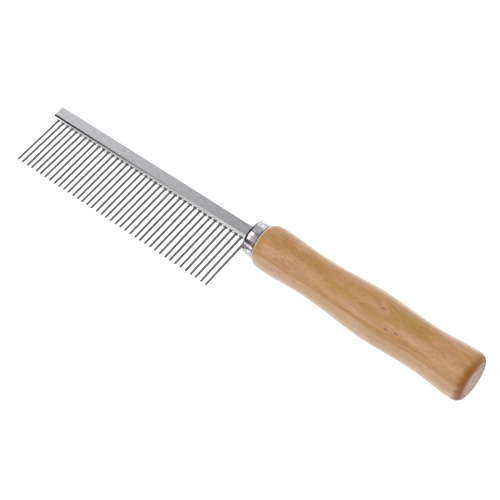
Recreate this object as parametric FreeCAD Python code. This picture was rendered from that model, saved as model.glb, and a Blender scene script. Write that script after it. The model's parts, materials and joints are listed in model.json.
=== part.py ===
"""Steel grooming comb: forty pins pressed into a round-edged steel bar, whose tang is driven
into a turned wooden handle behind a plated ferrule.

The comb is built straight, with X along the handle's axis towards the butt, the teeth pointing
to -Y and the bar's flat sides facing +Z and -Z. X is 0 at the first tooth. The head is then set
to its small lean, and the finished comb is laid down on a table the way it comes to rest.
Millimetres and degrees.
"""
import FreeCAD
import Part
import math
import os

# Teeth
tooth_count = 40
tooth_pitch = 2.5
tooth_radius = 0.55
tooth_exposed = 23.5
tooth_seat_depth = 4.0
tooth_end_chamfer = 0.15

# Bar and tang
bar_height = 6.0
bar_thickness = 4.0
bar_edge_radius = 1.2
bar_overhang = 2.5
bar_end_break = 0.3
countersink_radius = 1.0
countersink_depth = 0.45
tang_length = 42.0
tang_point_length = 7.0
tang_point_share = 0.4

# Ferrule: its side is crowned, widest at the handle, and the crown is an arc of ferrule_crown
ferrule_gap = 1.0
ferrule_radius = 7.4
ferrule_crown = 36.0
ferrule_length = 5.5
ferrule_wall = 0.6
ferrule_front_wall = 0.7
ferrule_rim_radius = 1.0
slot_clearance = 0.1

# Handle: each station is a distance behind the ferrule and the radius there
handle_length = 91.5
handle_front_radius = 7.8
shoulder_length = 4.4
shoulder_steepness = 0.15
shoulder_fullness = 0.5
shoulder_first_rise = 0.6
side_stations = (
    (shoulder_length, 8.98),
    (15.0, 8.47),
    (25.5, 8.18),
    (35.0, 8.62),
    (50.5, 9.45),
    (62.2, 8.90),
    (69.5, 8.64),
    (78.0, 8.93),
    (88.1, 9.58),
)
butt_edge_radius = 3.4

# Set of the head in the handle, towards the teeth
head_lean = 0.8

# How the comb lies: on the first tooth's tip, the bar's end and the handle's shoulder
rest_roll = 3.81
rest_pitch = 3.52

# How near an edge has to lie to the plane where it is looked for
edge_tolerance = 0.05

# Worked out
half_height = bar_height / 2
half_thickness = bar_thickness / 2
last_tooth = (tooth_count - 1) * tooth_pitch
ferrule_front = last_tooth + ferrule_gap
handle_front = ferrule_front + ferrule_length
handle_end = handle_front + handle_length
tenon_radius = ferrule_radius - ferrule_wall
tenon_front = ferrule_front + ferrule_front_wall
tang_end = handle_front + tang_length
arc_middle = math.sqrt(0.5)

X_AXIS = FreeCAD.Vector(1, 0, 0)
Y_AXIS = FreeCAD.Vector(0, 1, 0)
Z_AXIS = FreeCAD.Vector(0, 0, 1)
PULLED_OUT = FreeCAD.Vector(0, -1, 0)
ORIGIN = FreeCAD.Vector(0, 0, 0)


def bar_section(x, grow=0.0, share=1.0):
    """The bar's outline in the plane at x: a rectangle with rounded corners."""
    half_y = half_height * share + grow
    half_z = half_thickness * share + grow
    radius = bar_edge_radius * share + grow
    flat_y = half_y - radius
    flat_z = half_z - radius
    diagonal = radius * arc_middle
    edges = []
    for sign_y, sign_z in ((1, 1), (-1, 1), (-1, -1), (1, -1)):
        side_end = FreeCAD.Vector(x, sign_y * flat_y, sign_z * half_z)
        round_middle = FreeCAD.Vector(x, sign_y * (flat_y + diagonal), sign_z * (flat_z + diagonal))
        top_end = FreeCAD.Vector(x, sign_y * half_y, sign_z * flat_z)
        corner = [side_end, round_middle, top_end]
        if sign_y * sign_z > 0:
            corner.reverse()
        edges.append(corner)
    lines = []
    for index, corner in enumerate(edges):
        following = edges[(index + 1) % len(edges)]
        lines.append(Part.Arc(*corner).toShape())
        lines.append(Part.makeLine(corner[2], following[0]))
    return Part.Wire(lines)


def edges_at(shape, x):
    """The edges that lie in the plane at x."""
    return [edge for edge in shape.Edges if abs(edge.BoundBox.XMax - x) < edge_tolerance]


def make_tooth(x):
    """A straight pin with a rounded tip and a small chamfer at its seated end."""
    seated_end = -half_height + tooth_seat_depth
    length = tooth_seat_depth + tooth_exposed - tooth_radius
    pin = Part.makeCylinder(tooth_radius, length, FreeCAD.Vector(x, seated_end, 0), PULLED_OUT)
    tip = Part.makeSphere(tooth_radius, FreeCAD.Vector(x, seated_end - length, 0))
    tooth = pin.fuse(tip).removeSplitter()
    for edge in tooth.Edges:
        if edge.Length > tooth_radius and abs(edge.BoundBox.YMin - seated_end) < tooth_end_chamfer:
            return tooth.makeChamfer(tooth_end_chamfer, [edge])
    return tooth


def make_tooth_hole(x):
    """The pin's hole in the bar, with a small countersink at its mouth."""
    mouth = FreeCAD.Vector(x, -half_height, 0)
    hole = Part.makeCylinder(tooth_radius, tooth_seat_depth, mouth, Y_AXIS)
    sink = Part.makeCone(countersink_radius, tooth_radius, countersink_depth, mouth, Y_AXIS)
    return hole.fuse(sink)


def make_bar():
    """The drilled bar with its plain tang and pointed end, in one piece."""
    point_start = tang_end - tang_point_length
    face = Part.Face(bar_section(-bar_overhang))
    bar = face.extrude(X_AXIS * (point_start + bar_overhang))
    bar = bar.makeChamfer(bar_end_break, edges_at(bar, -bar_overhang))
    outlines = [bar_section(point_start), bar_section(tang_end, share=tang_point_share)]
    point = Part.makeLoft(outlines, True, True)
    bar = bar.fuse(point).removeSplitter()
    holes = [make_tooth_hole(i * tooth_pitch) for i in range(tooth_count)]
    return bar.cut(holes)


def crown_drop(distance):
    """How far the ferrule's crowned side has come in at a distance from the handle."""
    return ferrule_crown - math.sqrt(ferrule_crown ** 2 - distance ** 2)


def crowned_plug(front, radius):
    """A round plug from front to the handle's face, with the ferrule's crowned side."""
    length = handle_front - front

    def side(distance):
        return FreeCAD.Vector(handle_front - distance, radius - crown_drop(distance), 0)

    outline = Part.Wire([
        Part.makeLine(FreeCAD.Vector(handle_front, 0, 0), side(0)),
        Part.Arc(side(0), side(length / 2), side(length)).toShape(),
        Part.makeLine(side(length), FreeCAD.Vector(front, 0, 0)),
        Part.makeLine(FreeCAD.Vector(front, 0, 0), FreeCAD.Vector(handle_front, 0, 0)),
    ])
    return Part.Face(outline).revolve(ORIGIN, X_AXIS, 360)


def make_ferrule():
    """A drawn cup with a crowned side and a rounded front rim, open at the back."""
    cup = crowned_plug(ferrule_front, ferrule_radius)
    cup = cup.makeFillet(ferrule_rim_radius, edges_at(cup, ferrule_front))
    return cup.cut(crowned_plug(tenon_front, tenon_radius))


def make_handle():
    """The turned handle, revolved about X, with the front tenon that fills the ferrule."""
    def at(distance, radius):
        return FreeCAD.Vector(handle_front + distance, radius, 0)

    side_radius = side_stations[0][1]
    rise = side_radius - handle_front_radius
    shoulder = Part.BezierCurve()
    shoulder.setPoles([
        at(0, handle_front_radius),
        at(shoulder_length * shoulder_steepness, handle_front_radius + rise * shoulder_first_rise),
        at(shoulder_length * shoulder_fullness, side_radius),
        at(shoulder_length, side_radius),
    ])
    side = Part.BSplineCurve()
    side.interpolate(
        Points=[at(*station) for station in side_stations],
        InitialTangent=X_AXIS,
        FinalTangent=X_AXIS,
    )
    butt_start, butt_radius = side_stations[-1]
    face_radius = butt_radius - butt_edge_radius
    diagonal = butt_edge_radius * arc_middle
    butt_arc = Part.Arc(
        at(butt_start, butt_radius),
        at(butt_start + diagonal, face_radius + diagonal),
        at(handle_length, face_radius),
    )
    outline = Part.Wire([
        Part.makeLine(at(0, 0), at(0, handle_front_radius)),
        shoulder.toShape(),
        side.toShape(),
        butt_arc.toShape(),
        Part.makeLine(at(handle_length, face_radius), at(handle_length, 0)),
        Part.makeLine(at(handle_length, 0), at(0, 0)),
    ])
    body = Part.Face(outline).revolve(ORIGIN, X_AXIS, 360)
    return body.fuse(crowned_plug(tenon_front, tenon_radius)).removeSplitter()


def make_slot_tool():
    """The space the leaning bar needs through the ferrule's front wall."""
    face = Part.Face(bar_section(ferrule_front - ferrule_length, grow=slot_clearance))
    return face.extrude(X_AXIS * (2 * ferrule_length))


def lean(shape):
    """Turns a head piece about the middle of the ferrule's front."""
    shape.rotate(FreeCAD.Vector(ferrule_front, 0, 0), Z_AXIS, head_lean)
    return shape


def main():
    pieces = {}
    for index in range(tooth_count):
        pieces["tooth_%02d" % (index + 1)] = lean(make_tooth(index * tooth_pitch))
    bar = lean(make_bar())
    pieces["comb_bar"] = bar
    pieces["ferrule"] = make_ferrule().cut(lean(make_slot_tool()))
    pieces["handle"] = make_handle().cut(bar)

    laid_down = FreeCAD.Placement(
        ORIGIN,
        FreeCAD.Rotation(Y_AXIS, -rest_pitch) * FreeCAD.Rotation(X_AXIS, rest_roll),
    )
    for shape in pieces.values():
        shape.Placement = laid_down * shape.Placement
    box = Part.makeCompound(list(pieces.values())).optimalBoundingBox(False, False)
    to_origin = FreeCAD.Vector(-box.Center.x, -box.Center.y, -box.ZMin)

    os.makedirs("parts", exist_ok=True)
    for name, shape in pieces.items():
        shape.translate(to_origin)
        shape.exportStep("parts/%s.step" % name)
        print(name, "solids", len(shape.Solids), "valid", shape.isValid(), "mm3 %.2f" % shape.Volume)
    print("box %.2f x %.2f x %.2f" % (box.XLength, box.YLength, box.ZLength))


main()
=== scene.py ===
import json
import math
import random

import bmesh
import bpy
from mathutils import Matrix, Vector


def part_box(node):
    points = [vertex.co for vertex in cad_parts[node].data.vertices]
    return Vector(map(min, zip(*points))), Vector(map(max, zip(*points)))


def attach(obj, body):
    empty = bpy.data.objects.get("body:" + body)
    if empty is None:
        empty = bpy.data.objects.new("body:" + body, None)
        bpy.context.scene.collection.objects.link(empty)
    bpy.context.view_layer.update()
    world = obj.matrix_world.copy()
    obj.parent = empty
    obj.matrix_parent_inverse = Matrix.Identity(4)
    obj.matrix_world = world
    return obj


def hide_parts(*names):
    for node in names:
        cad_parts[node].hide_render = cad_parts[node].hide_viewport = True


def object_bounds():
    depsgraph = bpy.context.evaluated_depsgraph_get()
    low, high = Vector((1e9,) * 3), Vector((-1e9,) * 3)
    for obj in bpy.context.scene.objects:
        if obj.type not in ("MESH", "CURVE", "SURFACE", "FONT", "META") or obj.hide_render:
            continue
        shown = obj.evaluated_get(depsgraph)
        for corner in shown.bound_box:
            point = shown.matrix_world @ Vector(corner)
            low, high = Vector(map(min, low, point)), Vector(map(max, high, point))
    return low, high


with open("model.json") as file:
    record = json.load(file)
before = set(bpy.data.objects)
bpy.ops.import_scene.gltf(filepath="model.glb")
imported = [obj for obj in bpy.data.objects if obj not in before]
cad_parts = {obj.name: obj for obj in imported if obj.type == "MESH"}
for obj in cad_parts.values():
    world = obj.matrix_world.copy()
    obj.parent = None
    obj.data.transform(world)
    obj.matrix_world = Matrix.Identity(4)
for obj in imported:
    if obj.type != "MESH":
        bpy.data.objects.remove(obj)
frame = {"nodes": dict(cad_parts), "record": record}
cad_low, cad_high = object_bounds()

MM = 0.001

# The comb's own dimensions, in millimetres, in the frame it was built in: X runs along the
# handle towards the butt, 0 at the first tooth, the teeth point to -Y, the flat sides face Z
TOOTH_COUNT = 40
TOOTH_PITCH = 2.5
TOOTH_RADIUS = 0.55
TOOTH_LENGTH = 27.5
TOOTH_SEAT_DEPTH = 4.0
TOOTH_TIP_LENGTH = 0.5
BAR_HALF_HEIGHT = 3.0
FERRULE_GAP = 1.0
FERRULE_LENGTH = 5.5
HANDLE_LENGTH = 91.5
HEAD_LEAN = math.radians(0.8)
REST_ROLL = math.radians(3.81)

ROW_LENGTH = TOOTH_PITCH * (TOOTH_COUNT - 1)
FERRULE_FRONT = ROW_LENGTH + FERRULE_GAP
HANDLE_START = FERRULE_FRONT + FERRULE_LENGTH
HANDLE_END = HANDLE_START + HANDLE_LENGTH

# Directions, named alike in the comb's own frame and in the room round it
UP = (0, 0, 1)
DOWN = (0, 0, -1)
BUTT_END = (1, 0, 0)
FIRST_TOOTH_END = (-1, 0, 0)
TEETH_SIDE = (0, -1, 0)
FAR_SIDE = (0, 1, 0)
SLANTING_UP = (0.77, -0.42, 0.48)

# The teeth's meshes: how far a tip may stand off its straight line, along the row and across
# it, the power by which the bend grows towards the tip, the seed of the random bends, and the
# mesh's steps round the wire, along it and over its tip
TOOTH_BEND_ALONG = 0.16
TOOTH_BEND_ACROSS = 0.05
TOOTH_BEND_GROWTH = 1.6
TOOTH_BEND_SEED = 40
TOOTH_SIDES = 20
TOOTH_RINGS = 24
TIP_RINGS = 6

# Camera: its direction from the comb, its roll, its distance, its aim from the comb's centre,
# and its lens and sensor in millimetres
CAMERA_AZIMUTH = math.radians(40.81)
CAMERA_ELEVATION = math.radians(57.26)
CAMERA_ROLL = math.radians(-0.83)
CAMERA_DISTANCE = 434.8 * MM
CAMERA_AIM = Vector((6.17, 2.08, 0.0)) * MM
CAMERA_LENS = 86.4
CAMERA_SENSOR = 36.0
CAMERA_CLIP_START = 10 * MM

# Floor, its size in metres
FLOOR_SIZE = 6.0
FLOOR_COLOUR = (0.62, 0.62, 0.62, 1)
FLOOR_ROUGHNESS = 0.9
FLOOR_GLOW_COLOUR = (1, 1, 1, 1)
FLOOR_GLOW = 0.75

# Soft lamps: place in metres from the comb's centre, size in metres, power in watts
LAMPS = {
    "key": ((-0.7, -1.1, 1.1), 1.2, 30.0),
    "fill": ((0.9, 0.7, 1.5), 1.4, 27.0),
    "top": ((0.0, 0.0, 2.0), 1.6, 28.0),
}

# Windows, all at one distance in metres from the ferrule: direction from it, width and
# height in metres, turn in degrees, power in watts
WINDOW_DISTANCE = 0.5
WINDOWS = {
    "front_window": ((-0.705, -0.41, 0.575), 0.13, 0.38, 46, 0.78),
    "back_window": ((-0.37, 0.80, 0.47), 0.26, 0.40, 0, 0.32),
}

# The room that the metal and the varnish show: its grey at each height, from 0 at the horizon
# to 1 overhead, and the patches laid over it. A patch has its tone and its limits. A limit is
# a direction, with the cosines of the angles from it where the patch starts and is full.
BACKDROP = (1.3, 1.3, 1.3, 1)
ROOM_GREYS = [(0.0, 0.60), (0.12, 0.26), (0.60, 0.23)]
PATCHES = {
    "pale_wall_on_far_side": (
        (0.84, 0.84, 0.93, 1),
        [(FAR_SIDE, 0.35, 0.60), (DOWN, -0.62, -0.40)],
    ),
    "grey_wall_at_butt_end": (
        (0.25, 0.25, 0.25, 1),
        [(BUTT_END, 0.75, 0.90)],
    ),
    "dark_corner_on_teeth_side": (
        (0.02, 0.02, 0.02, 1),
        [(FIRST_TOOTH_END, 0.50, 0.61), (TEETH_SIDE, -0.12, 0.02)],
    ),
    "bright_wall_at_first_tooth_end": (
        (1.10, 1.09, 1.11, 1),
        [(FIRST_TOOTH_END, 0.40, 0.62), (FAR_SIDE, -0.10, 0.04), (TEETH_SIDE, -0.66, -0.46)],
    ),
    "grey_middle_of_bright_wall": (
        (0.25, 0.25, 0.25, 1),
        [(FIRST_TOOTH_END, 0.78, 0.92)],
    ),
    "pale_panel_above_teeth_side": (
        (0.9, 0.9, 0.9, 1),
        [(SLANTING_UP, 0.07, 0.19), (TEETH_SIDE, -0.20, 0.10), (FIRST_TOOTH_END, 0.0, 0.25)],
    ),
}

# The materials' noises: how many features a millimetre holds along X, Y and Z, and the
# noise's detail, roughness and distortion. Most of a noise lies from NOISE_LOW to NOISE_HIGH.
NOISE_LOW = 0.3
NOISE_HIGH = 0.7
PIN_LINES = {"scale": (6.0, 0.12, 6.0), "detail": 2.0, "roughness": 0.6}
PIN_CLOUDS = {"scale": (0.45, 0.45, 0.45), "detail": 2.0, "roughness": 0.5}
BAR_LINES = {"scale": (0.10, 5.0, 5.0), "detail": 3.0, "roughness": 0.65}
BAR_CLOUDS = {"scale": (0.5, 1.0, 1.0), "detail": 3.0, "roughness": 0.65}
BAR_GRIT = {"scale": (1.6, 3.4, 3.4), "detail": 2.0, "roughness": 0.7}
PLATE_DENTS = {"scale": (0.38, 0.38, 0.38), "detail": 1.0, "roughness": 0.4}
PLATE_STAINS = {"scale": (0.75, 0.75, 0.75), "detail": 3.0, "roughness": 0.6}
PLATE_SCUFFS = {"scale": (4.0, 1.3, 1.3), "detail": 3.0, "roughness": 0.7}
WOOD_WANDER = {"scale": (0.035, 0.05, 0.05), "detail": 2.0, "roughness": 0.5}
WOOD_BROAD = {"scale": (0.02, 0.17, 0.17), "detail": 3.0, "roughness": 0.55}
WOOD_MOTTLE = {"scale": (0.13, 0.50, 0.50), "detail": 3.0, "roughness": 0.6, "distortion": 0.6}
WOOD_BLUSH = {"scale": (0.09, 0.26, 0.26), "detail": 2.0, "roughness": 0.5, "distortion": 0.4}
WOOD_FIBRES = {"scale": (0.08, 2.2, 2.2), "detail": 4.0, "roughness": 0.65}
WOOD_FLECKS = {"scale": (0.50, 2.2, 2.2), "detail": 2.0, "roughness": 0.5}
WOOD_CROWDS = {"scale": (0.05, 0.09, 0.09), "detail": 1.0, "roughness": 0.5}
WOOD_SPECKLE = {"scale": (0.8, 2.4, 2.4), "detail": 3.0, "roughness": 0.7}
WOOD_PORES = {"scale": (0.3, 0.9, 4.0), "detail": 3.0, "roughness": 0.6}
LINE_SWAYS = {"scale": (0.07, 0.0, 0.0), "detail": 2.0, "roughness": 0.5}
VARNISH_WAVES = {"scale": (0.35, 0.35, 0.35), "detail": 2.0, "roughness": 0.5}

# Pins: the lines' depth in millimetres, and roughness from the lines and from the clouds
PIN_LIGHT = (0.52, 0.52, 0.53, 1)
PIN_DARK = (0.44, 0.44, 0.45, 1)
PIN_LINE_DEPTH = 0.004
PIN_LINE_ROUGHNESS = (0.10, 0.19)
PIN_CLOUD_ROUGHNESS = (0.0, 0.06)

# Bar: how squarely the surface faces up or down where a flat side starts and where it is full.
# The painted shade and reflection round each pin's foot has its radius, dark radius and depth in
# millimetres, and from the first tooth on there is a stretch where it is fainter.
FLAT_EDGE = 0.985
FLAT_FULL = 0.9995
BAR_EDGE_COLOUR = (0.72, 0.72, 0.73, 1)
BAR_LIGHT = (0.68, 0.68, 0.70, 1)
BAR_DARK = (0.56, 0.56, 0.575, 1)
BAR_LINE_COLOUR = (0.78, 0.78, 0.80, 1)
BAR_GRIT_COLOUR = (0.42, 0.42, 0.43, 1)
BAR_LINE_DEPTH = 0.010
BAR_EDGE_ROUGHNESS = 0.10
BAR_FLAT_ROUGHNESS = (0.24, 0.36)
# Nearly black: the painted shade and reflection round each pin's foot
FOOT_PAINTED_SHADE_COLOUR = (0.02, 0.019, 0.018, 1)
FOOT_PAINTED_SHADE_RADIUS = 1.35
FOOT_PAINTED_SHADE_DARK = 0.85
FOOT_PAINTED_SHADE_DEPTH = 0.6
FOOT_PAINTED_SHADE_FAINT_STRETCH = 60.0
FOOT_PAINTED_SHADE_FAINT_SHARE = 0.65
FOOT_PAINTED_SHADE_ROUGHNESS = 0.3

# Ferrule, and its painted dark in millimetres. In the rim's turn a painted dark reflection lies
# in a band about RIM_BAND, thick within one angle of a set bearing from the top towards the
# teeth, and thin beyond a wider one. Along the joint with the wood a painted shade starts and is
# full at two distances.
PLATE_LIGHT = (0.50, 0.475, 0.495, 1)
PLATE_STAIN = (0.36, 0.31, 0.335, 1)
PLATE_SCUFF = (0.26, 0.23, 0.25, 1)
# Painted dark: the reflection in the rim's turn and the shade at the joint with the wood
PLATE_PAINTED_SHADE_AND_REFLECTION = (0.015, 0.013, 0.014, 1)
PLATE_DENT_DEPTH = 0.05
PLATE_STAIN_DEPTH = 0.02
PLATE_ROUGHNESS = (0.10, 0.24)
RIM_BAND = FERRULE_FRONT + 0.78
RIM_BAND_HALF_WIDTH = 0.50
RIM_BAND_DARK_HALF_WIDTH = 0.40
RIM_PAINTED_REFLECTION_ANGLE = math.radians(25)
RIM_PAINTED_REFLECTION_THIN = math.radians(34)
RIM_PAINTED_REFLECTION_THICK = math.radians(16)
RIM_PAINTED_REFLECTION_THIN_SHARE = 0.35
JOINT_PAINTED_SHADE_EDGE = 0.75
JOINT_PAINTED_SHADE_DARK = 0.25

# Wood: the year rings turn about a pith that lies outside the handle, and are drawn out along
# it. The grain wanders to either side, and rises or falls in proportion.
PITH = (0.0, -14.0, -20.0)
RING_STRETCH = (0.05, 1.0, 1.0)
RING_SCALE = 0.085
GRAIN_WANDER = 3.5
GRAIN_WANDER_RISE = -0.6
WOOD_TAN = (0.262, 0.147, 0.058, 1)
WOOD_HONEY = (0.226, 0.113, 0.027, 1)
WOOD_GOLD = (0.205, 0.116, 0.020, 1)
WOOD_PINK = (0.285, 0.146, 0.080, 1)
WOOD_AMBER = (0.196, 0.088, 0.016, 1)
WOOD_FIBRE = (0.130, 0.062, 0.020, 1)
WOOD_FLECK = (0.105, 0.042, 0.012, 1)
WOOD_KNOT = (0.110, 0.034, 0.003, 1)
WOOD_PALE = (0.285, 0.165, 0.072, 1)
# Paler wood for the painted highlight on the front edge
WOOD_EDGE_HIGHLIGHT = (0.36, 0.27, 0.17, 1)
WOOD_END = (0.150, 0.050, 0.010, 1)
WOOD_SPECKLE_STRENGTH = (0.84, 1.16)
FLECK_SHARE = 0.6
WOOD_ROUGHNESS = 0.55
FIBRE_DEPTH = 0.03

# Varnish: its roughness, and its weight and the wood's own shine on the side and at the end
VARNISH_ROUGHNESS = (0.20, 0.30)
VARNISH_WEIGHT = (0.8, 0.15)
WOOD_SHINE = (0.35, 0.1)
VARNISH_WAVE_DEPTH = 0.22

# Marks on the handle's side, in millimetres, with the side laid flat at the handle's middling
# radius. The darker year line has its place, measured round from the top towards the teeth,
# its sway to either side of that, its half width, and a pale band above it.
HANDLE_RADIUS = 9.0
LINE_PLACE = 8.2
LINE_SWAY = 2.2
LINE_HALF_WIDTH = 0.65
LINE_SHARE = 0.75
PALE_BAND_WIDTH = 2.4
PALE_BAND_SHARE = 0.35

# The densest ray flecks, then the small knots: place along the handle, angle in degrees from
# the top towards the teeth, length, and for the flecks the width. A knot's width, and its
# halo's length and width, are multiples of its length. A spot is full within SPOT_FULL of its
# size.
FLECK_CROWD = (118.5, 24, 22.0, 15.0)
KNOTS = [
    (158.0, 0, 2.2),
    (162.5, 35, 2.8),
    (166.5, 32, 2.6),
    (164.5, 53, 1.8),
]
KNOT_WIDTH = 0.42
KNOT_SHARE = 0.9
HALO_LENGTH = 2.8
HALO_WIDTH = 1.4
HALO_SHARE = 0.30
SPOT_FULL = 0.2

# The painted highlight on the front edge: how far behind the ferrule it ends, and how far behind
# it is at full strength
EDGE_HIGHLIGHT_END = 0.9
EDGE_HIGHLIGHT_FULL = 0.3

# The turned end: how much stain it soaks up and how unevenly, its flat face, and the dark line
# where the rounded edge meets that face, with the line's radius, its half widths, and how near
# the face it starts and is full
SOAKED_SHARE = 0.9
SOAKED_UNEVENNESS = 0.12
END_LIGHT = (0.30, 0.185, 0.143, 1)
END_DARK = (0.13, 0.064, 0.044, 1)
END_LINE_COLOUR = (0.060, 0.045, 0.040, 1)
END_LINE_RADIUS = 6.1
END_LINE_HALF_WIDTH = 0.55
END_LINE_DARK_HALF_WIDTH = 0.15
END_LINE_START = 0.6
END_LINE_FULL = 0.3
END_LINE_SHARE = 0.75


def bench_matrix():
    """The frame the comb was built in, as it stands in this scene; its unit is the metre."""
    mount = frame["record"]["mounts"][0]
    axis = Vector(mount["axis"]).normalized()
    butt = Vector(mount["pos_m"])
    pitch = math.atan2(axis.z, axis.x)
    turn = Matrix.Rotation(-pitch, 3, "Y") @ Matrix.Rotation(REST_ROLL, 3, "X")
    start = butt - axis * HANDLE_END * MM
    return Matrix.Translation(start) @ turn.to_4x4()


BENCH = bench_matrix()
CENTRE = (cad_low + cad_high) / 2


# ---------------------------------------------------------------- node trees

class Nodes:
    """Builds one node tree, a call for each node. A value is a number, a tuple or another
    node's output."""

    def __init__(self, tree):
        self.tree = tree
        self.tree.nodes.clear()

    def add(self, kind, inputs, output=0, **settings):
        """Adds a node, and gives one of its outputs, or the node where it has none."""
        node = self.tree.nodes.new(kind)
        for name, value in settings.items():
            setattr(node, name, value)
        for key, value in inputs.items():
            if isinstance(value, bpy.types.NodeSocket):
                self.tree.links.new(value, node.inputs[key])
            else:
                node.inputs[key].default_value = value
        return node.outputs[output] if node.outputs else node

    def math(self, operation, *values):
        return self.add("ShaderNodeMath", dict(enumerate(values)), operation=operation)

    def apart(self, value, middle):
        """How far a value is from a middle, on either side of it."""
        return self.math("ABSOLUTE", self.math("SUBTRACT", value, middle))

    def vector(self, operation, *values, output=0):
        inputs = dict(enumerate(values))
        return self.add("ShaderNodeVectorMath", inputs, output, operation=operation)

    def dot(self, one, other):
        return self.vector("DOT_PRODUCT", one, other, output="Value")

    def length(self, one):
        return self.vector("LENGTH", one, output="Value")

    def split(self, point):
        node = self.tree.nodes.new("ShaderNodeSeparateXYZ")
        self.tree.links.new(point, node.inputs[0])
        return node.outputs

    def join(self, x, y, z):
        return self.add("ShaderNodeCombineXYZ", {0: x, 1: y, 2: z})

    def linear(self, value, low, high, to_low=0.0, to_high=1.0, kind="LINEAR"):
        """Takes low to to_low and high to to_high, and holds those two values outside."""
        inputs = {
            "Value": value,
            "From Min": low,
            "From Max": high,
            "To Min": to_low,
            "To Max": to_high,
        }
        return self.add("ShaderNodeMapRange", inputs, interpolation_type=kind)

    def smooth(self, value, low, high, to_low=0.0, to_high=1.0):
        """As linear, with soft ends."""
        return self.linear(value, low, high, to_low, to_high, kind="SMOOTHSTEP")

    def between(self, share, start, end):
        """The value that lies a share of the way from start to end."""
        return self.linear(share, 0.0, 1.0, start, end)

    def noise(self, point, scale, detail, roughness, distortion=0.0):
        inputs = {
            "Vector": self.vector("MULTIPLY", point, scale),
            "Scale": 1.0,
            "Detail": detail,
            "Roughness": roughness,
            "Distortion": distortion,
        }
        return self.add("ShaderNodeTexNoise", inputs, "Fac")

    def spread(self, noise, low, high):
        """Spreads a noise's usual range from low to high."""
        return self.linear(noise, NOISE_LOW, NOISE_HIGH, low, high)

    def mix(self, share, under, over):
        """Lays a share of a colour over another."""
        return self.add("ShaderNodeMix", {0: share, 6: under, 7: over}, 2, data_type="RGBA")

    def tint(self, under, over, noise, start, full, share=1.0):
        """Lays up to a share of a colour over another, as a noise rises from start to full."""
        return self.mix(self.smooth(noise, start, full, 0.0, share), under, over)

    def greys(self, value, stops):
        """A grey for each value, eased from stop to stop."""
        node = self.tree.nodes.new("ShaderNodeValToRGB")
        self.tree.links.new(value, node.inputs[0])
        node.color_ramp.interpolation = "EASE"
        elements = node.color_ramp.elements
        while len(elements) < len(stops):
            elements.new(stops[-1][0])
        for element, (place, grey) in zip(elements, stops):
            element.position = place
            element.color = (grey, grey, grey, 1)
        return node.outputs[0]

    def bump(self, height, depth, strength, under=None):
        """Relief with a depth in millimetres, over another relief if one is given."""
        inputs = {"Height": height, "Distance": depth * MM, "Strength": strength}
        if under is not None:
            inputs["Normal"] = under
        return self.add("ShaderNodeBump", inputs)


class Material(Nodes):
    """A material whose points are in the frame the comb was built in, in millimetres."""

    def __init__(self, name):
        self.made = bpy.data.materials.new(name)
        self.made.use_nodes = True
        super().__init__(self.made.node_tree)

    def point(self):
        """The shaded point, in millimetres along, across and up from the first tooth."""
        back = BENCH.inverted()
        inputs = {
            "Vector": self.add("ShaderNodeTexCoord", {}, "Object"),
            "Location": back.translation / MM,
            "Rotation": back.to_euler(),
            "Scale": (1 / MM, 1 / MM, 1 / MM),
        }
        return self.add("ShaderNodeMapping", inputs)

    def facing(self, direction):
        """How squarely the surface faces a direction of the comb's own frame, from -1 to 1."""
        world = BENCH.to_3x3() @ Vector(direction)
        normal = self.add("ShaderNodeNewGeometry", {}, "Normal")
        return self.dot(normal, tuple(world))

    def round_angle(self, point):
        """The angle about the handle's axis, from the top towards the teeth, in radians."""
        _, across, up = self.split(point)
        return self.math("ARCTAN2", self.math("MULTIPLY", across, -1.0), up)

    def surface(self, inputs):
        shader = self.add("ShaderNodeBsdfPrincipled", inputs)
        self.add("ShaderNodeOutputMaterial", {"Surface": shader})


# ---------------------------------------------------------------- camera, floor and light

def make_camera():
    """The camera looks down at the comb from beside the butt."""
    aim = CENTRE + CAMERA_AIM
    away = Vector((
        math.cos(CAMERA_ELEVATION) * math.sin(CAMERA_AZIMUTH),
        -math.cos(CAMERA_ELEVATION) * math.cos(CAMERA_AZIMUTH),
        math.sin(CAMERA_ELEVATION),
    ))
    camera = bpy.data.objects.new("camera", bpy.data.cameras.new("camera"))
    camera.data.lens = CAMERA_LENS
    camera.data.sensor_width = CAMERA_SENSOR
    camera.data.clip_start = CAMERA_CLIP_START
    look = (-away).to_track_quat("-Z", "Y").to_matrix()
    turn = look @ Matrix.Rotation(CAMERA_ROLL, 3, "Z")
    camera.matrix_world = Matrix.Translation(aim + away * CAMERA_DISTANCE) @ turn.to_4x4()
    bpy.context.scene.collection.objects.link(camera)
    bpy.context.scene.camera = camera


def make_floor():
    """A plain pale floor under the comb, which glows a little, like a lit white sheet."""
    mesh = bpy.data.meshes.new("floor")
    half = FLOOR_SIZE / 2
    corners = [(-half, -half, 0), (half, -half, 0), (half, half, 0), (-half, half, 0)]
    mesh.from_pydata(corners, [], [(0, 1, 2, 3)])
    floor = bpy.data.objects.new("floor", mesh)
    floor.location = (CENTRE.x, CENTRE.y, 0)
    bpy.context.scene.collection.objects.link(floor)
    material = Material("pale_floor")
    material.surface({
        "Base Color": FLOOR_COLOUR,
        "Roughness": FLOOR_ROUGHNESS,
        "Specular IOR Level": 0.0,
        "Emission Color": FLOOR_GLOW_COLOUR,
        "Emission Strength": FLOOR_GLOW,
    })
    mesh.materials.append(material.made)


def lay_patch(nodes, colour, direction, tone, limits):
    """Lays a soft-edged patch on the room, where the direction is inside all its limits."""
    share = 1.0
    for toward, start, full in limits:
        level = nodes.smooth(nodes.dot(direction, toward), start, full)
        share = nodes.math("MULTIPLY", share, level)
    return nodes.mix(share, colour, tone)


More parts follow.
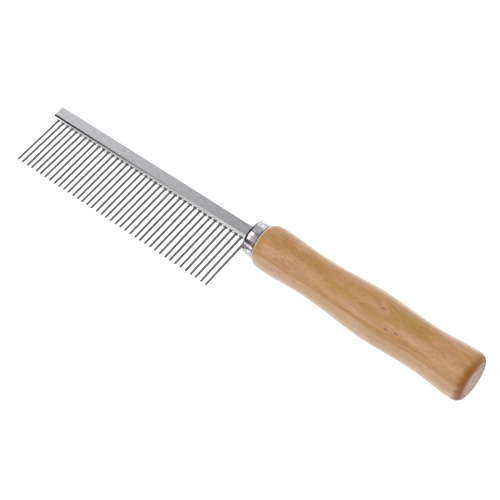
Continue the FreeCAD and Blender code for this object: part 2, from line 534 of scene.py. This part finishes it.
def make_world():
    """The room of soft-edged light and dark patches. The camera sees a plain pale backdrop
    in its place."""
    world = bpy.data.worlds.new("studio")
    world.use_nodes = True
    bpy.context.scene.world = world
    nodes = Nodes(world.node_tree)
    direction = nodes.add("ShaderNodeTexCoord", {}, "Generated")
    colour = nodes.greys(nodes.dot(direction, UP), ROOM_GREYS)
    for tone, limits in PATCHES.values():
        colour = lay_patch(nodes, colour, direction, tone, limits)
    seen = nodes.add("ShaderNodeLightPath", {}, "Is Camera Ray")
    light = nodes.add("ShaderNodeBackground", {"Color": nodes.mix(seen, colour, BACKDROP)})
    nodes.add("ShaderNodeOutputWorld", {"Surface": light})


def add_lamp(name, shape, power, place, aim, turn=0.0):
    """An area lamp at a place, pointed at its aim and turned about the line between them."""
    data = bpy.data.lights.new(name, "AREA")
    data.shape = shape
    data.energy = power
    lamp = bpy.data.objects.new(name, data)
    lamp.location = place
    look = (aim - place).to_track_quat("-Z", "Y").to_matrix()
    lamp.rotation_euler = (look @ Matrix.Rotation(turn, 3, "Z")).to_euler()
    bpy.context.scene.collection.objects.link(lamp)
    return lamp


def make_lamps():
    """Soft lamps that light the comb and the floor, and don't show in the metal."""
    for name, (place, size, power) in LAMPS.items():
        lamp = add_lamp(name, "DISK", power, CENTRE + Vector(place), CENTRE)
        lamp.data.size = size
        lamp.visible_glossy = False


def make_windows():
    """Bright panels that light the ferrule alone, so that only it shows them."""
    shows = bpy.data.collections.new("shows_windows")
    shows.objects.link(frame["nodes"]["ferrule"])
    low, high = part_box("ferrule")
    ferrule = (low + high) / 2
    for name, (toward, width, height, turn, power) in WINDOWS.items():
        place = ferrule + Vector(toward).normalized() * WINDOW_DISTANCE
        lamp = add_lamp(name, "RECTANGLE", power, place, ferrule, math.radians(turn))
        lamp.data.size = width
        lamp.data.size_y = height
        lamp.visible_camera = False
        lamp.light_linking.receiver_collection = shows


# ---------------------------------------------------------------- steel and plating

def pin_steel():
    """Bright drawn wire: fine lines along the tooth and a slightly uneven polish."""
    steel = Material("pin_wire")
    point = steel.point()
    lines = steel.noise(point, **PIN_LINES)
    clouds = steel.noise(point, **PIN_CLOUDS)
    line_roughness = steel.spread(lines, *PIN_LINE_ROUGHNESS)
    cloud_roughness = steel.spread(clouds, *PIN_CLOUD_ROUGHNESS)
    steel.surface({
        "Base Color": steel.tint(PIN_LIGHT, PIN_DARK, clouds, start=0.35, full=0.7),
        "Metallic": 1.0,
        "Roughness": steel.math("ADD", line_roughness, cloud_roughness),
        "Normal": steel.bump(lines, PIN_LINE_DEPTH, strength=0.6),
    })
    return steel.made


def painted_foot_shade(steel, point):
    """The painted shade and reflection on the bar's lower face close round a tooth, as a share
    from 0 to 1.
    """
    lean_back = steel.add("ShaderNodeVectorRotate", {
        "Vector": point,
        "Center": (FERRULE_FRONT, 0, 0),
        "Axis": (0, 0, 1),
        "Angle": -HEAD_LEAN,
    })
    along, across, up = steel.split(lean_back)
    nearest = steel.math("ROUND", steel.math("DIVIDE", along, TOOTH_PITCH))
    offset = steel.math("SUBTRACT", along, steel.math("MULTIPLY", nearest, TOOTH_PITCH))
    out = steel.length(steel.join(offset, up, 0.0))
    ring = steel.smooth(out, FOOT_PAINTED_SHADE_RADIUS, FOOT_PAINTED_SHADE_DARK)
    strength = steel.linear(along, 0.0, FOOT_PAINTED_SHADE_FAINT_STRETCH, FOOT_PAINTED_SHADE_FAINT_SHARE, 1.0)
    ring = steel.math("MULTIPLY", ring, strength)
    below = steel.smooth(across, -BAR_HALF_HEIGHT + FOOT_PAINTED_SHADE_DEPTH, -BAR_HALF_HEIGHT)
    in_row = steel.math("LESS_THAN", along, ROW_LENGTH + TOOTH_PITCH / 2)
    return steel.math("MULTIPLY", steel.math("MULTIPLY", ring, below), in_row)


def bar_steel():
    """Flat sides finely ground along the bar and a little cloudy, round edges bright, with a
    painted shade and reflection round the foot of each tooth."""
    steel = Material("ground_bar")
    point = steel.point()
    flatness = steel.smooth(steel.math("ABSOLUTE", steel.facing(UP)), FLAT_EDGE, FLAT_FULL)
    lines = steel.noise(point, **BAR_LINES)
    clouds = steel.noise(point, **BAR_CLOUDS)
    grit = steel.noise(point, **BAR_GRIT)
    rings = painted_foot_shade(steel, point)
    flat = steel.tint(BAR_LIGHT, BAR_DARK, clouds, start=0.3, full=0.7)
    line_share = steel.linear(lines, low=0.35, high=0.65, to_high=0.35)
    flat = steel.mix(line_share, flat, BAR_LINE_COLOUR)
    flat = steel.tint(flat, BAR_GRIT_COLOUR, grit, start=0.45, full=0.75, share=0.35)
    colour = steel.mix(flatness, BAR_EDGE_COLOUR, flat)
    flat_roughness = steel.spread(lines, *BAR_FLAT_ROUGHNESS)
    roughness = steel.between(flatness, BAR_EDGE_ROUGHNESS, flat_roughness)
    ring_roughness = steel.math("MULTIPLY", rings, FOOT_PAINTED_SHADE_ROUGHNESS)
    steel.surface({
        # The painted shade round the teeth's feet darkens the bar here
        "Base Color": steel.mix(rings, colour, FOOT_PAINTED_SHADE_COLOUR),
        "Metallic": 1.0,
        "Roughness": steel.math("ADD", roughness, ring_roughness),
        "Normal": steel.bump(lines, BAR_LINE_DEPTH, strength=steel.between(flatness, 0.15, 0.7)),
    })
    return steel.made


def ferrule_painted_shade_and_reflection(plate, point):
    """The painted dark reflection in the turn of the front rim and the painted shade along the
    wood, as a share from 0 to 1.
    """
    along = plate.split(point)[0]
    band = plate.apart(along, RIM_BAND)
    band = plate.smooth(band, RIM_BAND_HALF_WIDTH, RIM_BAND_DARK_HALF_WIDTH)
    # The painted reflection is thickest on the side towards the teeth
    aside = plate.apart(plate.round_angle(point), RIM_PAINTED_REFLECTION_ANGLE)
    thickness = plate.smooth(aside, RIM_PAINTED_REFLECTION_THIN, RIM_PAINTED_REFLECTION_THICK, RIM_PAINTED_REFLECTION_THIN_SHARE, 1.0)
    # Painted shade along the joint with the wood
    joint = plate.smooth(along, HANDLE_START - JOINT_PAINTED_SHADE_EDGE, HANDLE_START - JOINT_PAINTED_SHADE_DARK)
    return plate.math("MAXIMUM", plate.math("MULTIPLY", band, thickness), joint)


def ferrule_plate():
    """Bright plating on thin drawn sheet, shallowly dented, faintly stained and finely
    scuffed, with a painted dark reflection in its rim's turn and painted shade along the wood."""
    plate = Material("bright_plate")
    point = plate.point()
    dents = plate.noise(point, **PLATE_DENTS)
    stains = plate.noise(point, **PLATE_STAINS)
    scuffs = plate.noise(point, **PLATE_SCUFFS)
    colour = plate.tint(PLATE_LIGHT, PLATE_STAIN, stains, start=0.35, full=0.65)
    colour = plate.tint(colour, PLATE_SCUFF, scuffs, start=0.50, full=0.72, share=0.5)
    dented = plate.bump(dents, PLATE_DENT_DEPTH, strength=0.5)
    plate.surface({
        # The painted reflection and shade darken the plating here
        "Base Color": plate.mix(ferrule_painted_shade_and_reflection(plate, point), colour, PLATE_PAINTED_SHADE_AND_REFLECTION),
        "Metallic": 1.0,
        "Roughness": plate.spread(scuffs, *PLATE_ROUGHNESS),
        "Normal": plate.bump(stains, PLATE_STAIN_DEPTH, strength=0.6, under=dented),
    })
    return plate.made


# ---------------------------------------------------------------- wood

def wandering_grain(wood, place):
    """The place in the wood, shifted so that the grain wanders instead of running straight."""
    wander = wood.between(wood.noise(place, **WOOD_WANDER), -GRAIN_WANDER, GRAIN_WANDER)
    rise = wood.math("MULTIPLY", wander, GRAIN_WANDER_RISE)
    return wood.vector("ADD", place, wood.join(0.0, wander, rise))


def year_rings(wood, point):
    """Wavy shells about the pith, as a share from 0 to 1."""
    stretched = wood.vector("MULTIPLY", point, RING_STRETCH)
    inputs = {
        "Vector": wood.vector("SUBTRACT", stretched, PITH),
        "Scale": RING_SCALE,
        "Distortion": 4.0,
        "Detail": 3.0,
        "Detail Scale": 1.4,
        "Detail Roughness": 0.6,
    }
    return wood.add("ShaderNodeTexWave", inputs, "Fac", wave_type="RINGS", rings_direction="X")


def unroll(wood, place):
    """The handle's side laid flat: along, then round from the top towards the teeth, in mm."""
    along = wood.split(place)[0]
    return wood.join(along, wood.math("MULTIPLY", wood.round_angle(place), HANDLE_RADIUS), 0.0)


def near_spot(wood, side, along, degrees, length, width):
    """How near a spot drawn out along the grain lies, from 0 at its rim to 1 in its middle."""
    middle = (along, math.radians(degrees) * HANDLE_RADIUS, 0.0)
    offset = wood.vector("SUBTRACT", side, middle)
    offset = wood.vector("MULTIPLY", offset, (2 / length, 2 / width, 0.0))
    return wood.smooth(wood.length(offset), 1.0, SPOT_FULL)


def add_flecks(wood, colour, point, side):
    """Short dark ray flecks, which crowd in some places and most of all near the ferrule."""
    crowds = wood.smooth(wood.noise(point, **WOOD_CROWDS), low=0.46, high=0.62, to_high=0.5)
    crowds = wood.math("MAXIMUM", crowds, near_spot(wood, side, *FLECK_CROWD))
    flecks = wood.smooth(wood.noise(point, **WOOD_FLECKS), low=0.56, high=0.70)
    share = wood.math("MULTIPLY", wood.math("MULTIPLY", flecks, crowds), FLECK_SHARE)
    return wood.mix(share, colour, WOOD_FLECK)


def add_knots(wood, colour, side):
    """The small knots, each in a paler halo."""
    for along, degrees, length in KNOTS:
        halo_size = (length * HALO_LENGTH, length * HALO_WIDTH)
        halo = near_spot(wood, side, along, degrees, *halo_size)
        knot = near_spot(wood, side, along, degrees, length, length * KNOT_WIDTH)
        colour = wood.mix(wood.math("MULTIPLY", halo, HALO_SHARE), colour, WOOD_PINK)
        colour = wood.mix(wood.math("MULTIPLY", knot, KNOT_SHARE), colour, WOOD_KNOT)
    return colour


def add_year_line(wood, colour, side):
    """One darker year line low on the handle's side, with a paler band above it."""
    along, round_side, _ = wood.split(side)
    sway = wood.noise(wood.join(along, 0.0, 0.0), **LINE_SWAYS)
    place = wood.between(sway, LINE_PLACE - LINE_SWAY, LINE_PLACE + LINE_SWAY)
    below = wood.math("SUBTRACT", round_side, place)
    pale = wood.smooth(below, 0.0, -PALE_BAND_WIDTH, PALE_BAND_SHARE, 0.0)
    dark = wood.smooth(wood.math("ABSOLUTE", below), LINE_HALF_WIDTH, 0.0, 0.0, LINE_SHARE)
    return wood.mix(dark, wood.mix(pale, colour, WOOD_PALE), WOOD_AMBER)


def add_painted_edge_highlight(wood, colour, place):
    """A painted highlight: paler wood on the front edge that the ferrule is driven against."""
    along = wood.split(place)[0]
    edge_highlight = wood.smooth(along, HANDLE_START + EDGE_HIGHLIGHT_END, HANDLE_START + EDGE_HIGHLIGHT_FULL)
    return wood.mix(edge_highlight, colour, WOOD_EDGE_HIGHLIGHT)


def add_end_line(wood, colour, place):
    """The dark line where the butt's rounded edge meets its flat face."""
    out = wood.length(wood.vector("MULTIPLY", place, (0, 1, 1)))
    line = wood.apart(out, END_LINE_RADIUS)
    line = wood.smooth(line, END_LINE_HALF_WIDTH, END_LINE_DARK_HALF_WIDTH, 0.0, END_LINE_SHARE)
    along = wood.split(place)[0]
    at_end = wood.smooth(along, HANDLE_END - END_LINE_START, HANDLE_END - END_LINE_FULL)
    return wood.mix(wood.math("MULTIPLY", line, at_end), colour, END_LINE_COLOUR)


def handle_wood():
    """Honey-coloured turned hardwood under clear satin varnish, darker where the rounded
    butt cuts across the grain."""
    wood = Material("honey_wood")
    place = wood.point()
    point = wandering_grain(wood, place)
    side = unroll(wood, place)

    # Year rings, tints and fibres
    broad = wood.noise(point, **WOOD_BROAD)
    mottle = wood.noise(point, **WOOD_MOTTLE)
    blush = wood.noise(point, **WOOD_BLUSH)
    fibres = wood.noise(point, **WOOD_FIBRES)
    colour = wood.tint(WOOD_TAN, WOOD_HONEY, year_rings(wood, point), start=0.1, full=0.9)
    colour = wood.tint(colour, WOOD_GOLD, broad, start=0.36, full=0.66, share=0.8)
    colour = wood.tint(colour, WOOD_PINK, blush, start=0.42, full=0.66, share=0.75)
    colour = wood.tint(colour, WOOD_AMBER, mottle, start=0.40, full=0.70, share=0.55)
    fibre_share = wood.linear(fibres, low=0.38, high=0.62, to_low=0.30, to_high=0.0)
    colour = wood.mix(fibre_share, colour, WOOD_FIBRE)

    # Marks, then a fine speckle over them all
    colour = add_flecks(wood, colour, point, side)
    colour = add_knots(wood, colour, side)
    colour = add_year_line(wood, colour, side)
    # Painted highlight on the front edge
    colour = add_painted_edge_highlight(wood, colour, place)
    speckle = wood.spread(wood.noise(place, **WOOD_SPECKLE), *WOOD_SPECKLE_STRENGTH)
    colour = wood.vector("MULTIPLY", colour, wood.join(speckle, speckle, speckle))

    # The turned end, where the stain soaks into the end grain
    endwise = wood.facing(BUTT_END)
    uneven = wood.spread(mottle, -SOAKED_UNEVENNESS, SOAKED_UNEVENNESS)
    soaked = wood.smooth(wood.math("ADD", endwise, uneven), low=0.02, high=0.75)
    colour = wood.mix(wood.math("MULTIPLY", soaked, SOAKED_SHARE), colour, WOOD_END)
    pores = wood.noise(point, **WOOD_PORES)
    end_face = wood.smooth(endwise, low=0.93, high=0.995)
    end_grain = wood.tint(END_LIGHT, END_DARK, pores, start=0.40, full=0.62)
    colour = wood.mix(end_face, colour, end_grain)
    colour = add_end_line(wood, colour, place)

    relief = wood.math("ADD", fibres, wood.math("MULTIPLY", pores, end_face))
    waves = wood.noise(point, **VARNISH_WAVES)
    dry = wood.math("MAXIMUM", soaked, end_face)
    wood.surface({
        "Base Color": colour,
        "Roughness": WOOD_ROUGHNESS,
        "Specular IOR Level": wood.between(dry, *WOOD_SHINE),
        "Coat Weight": wood.between(dry, *VARNISH_WEIGHT),
        "Coat Roughness": wood.spread(broad, *VARNISH_ROUGHNESS),
        "Normal": wood.bump(relief, FIBRE_DEPTH, strength=0.4),
        "Coat Normal": wood.bump(waves, VARNISH_WAVE_DEPTH, strength=0.15),
    })
    return wood.made


def paint(node, material):
    """Gives a carried-over CAD node its finish."""
    mesh = frame["nodes"][node].data
    for slot in range(len(mesh.materials)):
        mesh.materials[slot] = material


# ---------------------------------------------------------------- teeth

def tooth_profile():
    """Each ring of a tooth: its distance from the seated end, and its radius, in mm."""
    straight = TOOTH_LENGTH - TOOTH_TIP_LENGTH
    profile = []
    for step in range(TOOTH_RINGS + 1):
        profile.append((straight * step / TOOTH_RINGS, TOOTH_RADIUS))
    for step in range(1, TIP_RINGS):
        turn = math.pi / 2 * step / TIP_RINGS
        distance = straight + TOOTH_TIP_LENGTH * math.sin(turn)
        profile.append((distance, TOOTH_RADIUS * math.cos(turn)))
    return profile


def tooth_mesh(name, row, up, middle):
    """A closed round wire with a flat seated end and a rounded tip. middle gives the place of
    its middle line at a distance from the seated end, and row and up span its section."""
    form = bmesh.new()
    loops = []
    for distance, radius in tooth_profile():
        loop = []
        for side in range(TOOTH_SIDES):
            angle = math.tau * side / TOOTH_SIDES
            reach = row * math.cos(angle) + up * math.sin(angle)
            loop.append(form.verts.new(middle(distance) + reach * radius * MM))
        loops.append(loop)
    for one, two in zip(loops, loops[1:]):
        for side in range(TOOTH_SIDES):
            after = (side + 1) % TOOTH_SIDES
            form.faces.new((one[side], one[after], two[after], two[side]))
    seated_end = form.faces.new(loops[0][::-1])
    tip = form.verts.new(middle(TOOTH_LENGTH))
    for side in range(TOOTH_SIDES):
        form.faces.new((loops[-1][side], loops[-1][(side + 1) % TOOTH_SIDES], tip))
    bmesh.ops.recalc_face_normals(form, faces=form.faces)
    for face in form.faces:
        face.smooth = face != seated_end
    mesh = bpy.data.meshes.new(name)
    form.to_mesh(mesh)
    form.free()
    return mesh


def make_tooth(number, material, chance):
    """One tooth in place of its CAD node, very slightly bent where it is out of the bar."""
    node = f"tooth_{number:02d}"
    low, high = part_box(node)
    turn = BENCH.to_3x3() @ Matrix.Rotation(HEAD_LEAN, 3, "Z")
    row = turn @ Vector(BUTT_END)
    outward = turn @ Vector(TEETH_SIDE)
    up = turn @ Vector(UP)
    seated_end = (low + high) / 2 - outward * TOOTH_LENGTH / 2 * MM
    bend_along = chance.uniform(-1, 1) * TOOTH_BEND_ALONG
    bend_across = chance.uniform(-1, 1) * TOOTH_BEND_ACROSS
    bend = row * bend_along + up * bend_across

    def middle(distance):
        outside = max(0.0, distance - TOOTH_SEAT_DEPTH) / (TOOTH_LENGTH - TOOTH_SEAT_DEPTH)
        return seated_end + (outward * distance + bend * outside ** TOOTH_BEND_GROWTH) * MM

    mesh = tooth_mesh(f"pin_{number:02d}", row, up, middle)
    mesh.materials.append(material)
    pin = bpy.data.objects.new(mesh.name, mesh)
    bpy.context.scene.collection.objects.link(pin)
    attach(pin, "root")
    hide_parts(node)


def make_teeth():
    material = pin_steel()
    chance = random.Random(TOOTH_BEND_SEED)
    for number in range(1, TOOTH_COUNT + 1):
        make_tooth(number, material, chance)


# ---------------------------------------------------------------- the scene

def main():
    bpy.context.scene.view_settings.view_transform = "Standard"
    make_camera()
    make_floor()
    make_world()
    make_lamps()
    make_windows()
    paint("handle", handle_wood())
    paint("ferrule", ferrule_plate())
    paint("comb_bar", bar_steel())
    make_teeth()


main()
